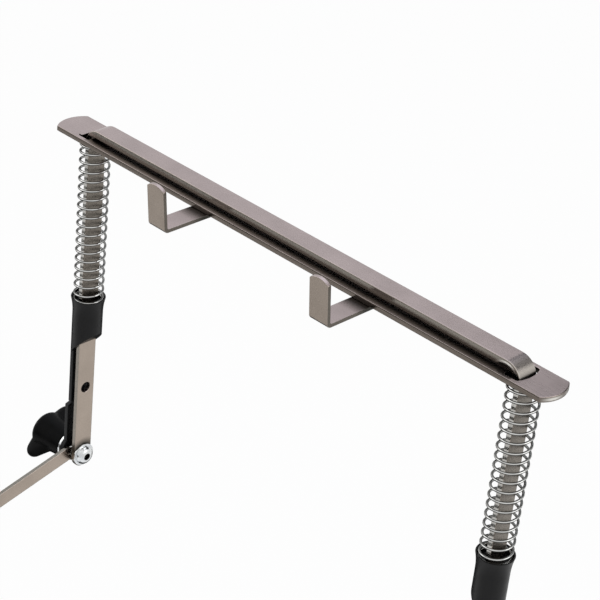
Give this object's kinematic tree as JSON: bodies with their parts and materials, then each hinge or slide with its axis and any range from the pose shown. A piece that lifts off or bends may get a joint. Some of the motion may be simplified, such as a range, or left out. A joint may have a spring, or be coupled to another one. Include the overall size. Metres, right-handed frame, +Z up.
{
  "type": "harmonica holder",
  "caption": "Neck-worn harmonica holder: a bent strip frame with a sprung holder plate and stop tabs, tilting on the ends of a neck loop with wing nuts.",
  "frame": {"origin": "inner face of the neck loop at the middle of its rear arc, where it rests on the neck", "axes": "+X to the right in the front view, along the crossbar; +Y from the neck towards the frame; +Z up, along the uprights"},
  "size_m": [0.3092, 0.245, 0.2474],
  "materials": {
    "nickel_strip": "satin champagne nickel plate",
    "spring_wire": "bright nickel-plated spring wire",
    "zinc_hardware": "bright zinc plate",
    "black_plastic": "satin moulded plastic"
  },
  "bodies": {
    "neck": {"neck_loop": "nickel_strip"},
    "rack": {"clamp_frame": "nickel_strip", "spring_left": "spring_wire", "spring_right": "spring_wire", "spring_guide_left": "black_plastic", "spring_guide_right": "black_plastic", "pivot_screw_left": "zinc_hardware", "pivot_screw_right": "zinc_hardware", "toothed_washer_left": "zinc_hardware", "toothed_washer_right": "zinc_hardware", "flat_washer_left": "zinc_hardware", "flat_washer_right": "zinc_hardware"},
    "plate": {"holder_plate": "nickel_strip", "stop_tab_left": "nickel_strip", "stop_tab_right": "nickel_strip"},
    "left_nut": {"wing_nut_left": "black_plastic", "nut_insert_left": "zinc_hardware"},
    "right_nut": {"wing_nut_right": "black_plastic", "nut_insert_right": "zinc_hardware"}
  },
  "joints": [
    {"name": "rack_tilt", "type": "hinge", "parent": "neck", "child": "rack", "pos_m": [0, 0.2294, 0.05507], "axis": [1, 0, 0], "range_deg": [-230, 80]},
    {"name": "plate_slide", "type": "slide", "parent": "rack", "child": "plate", "axis": [0, 0, 1], "range_m": [-0.055, 0], "stiffness_N_per_m": 740, "springref_m": 0.018, "deforming": ["spring_left", "spring_right"]},
    {"name": "left_nut_turn", "type": "hinge", "parent": "rack", "child": "left_nut", "pos_m": [-0.14, 0.2294, 0.05507], "axis": [1, 0, 0], "continuous": true},
    {"name": "right_nut_turn", "type": "hinge", "parent": "rack", "child": "right_nut", "pos_m": [0.14, 0.2294, 0.05507], "axis": [1, 0, 0], "continuous": true}
  ]
}
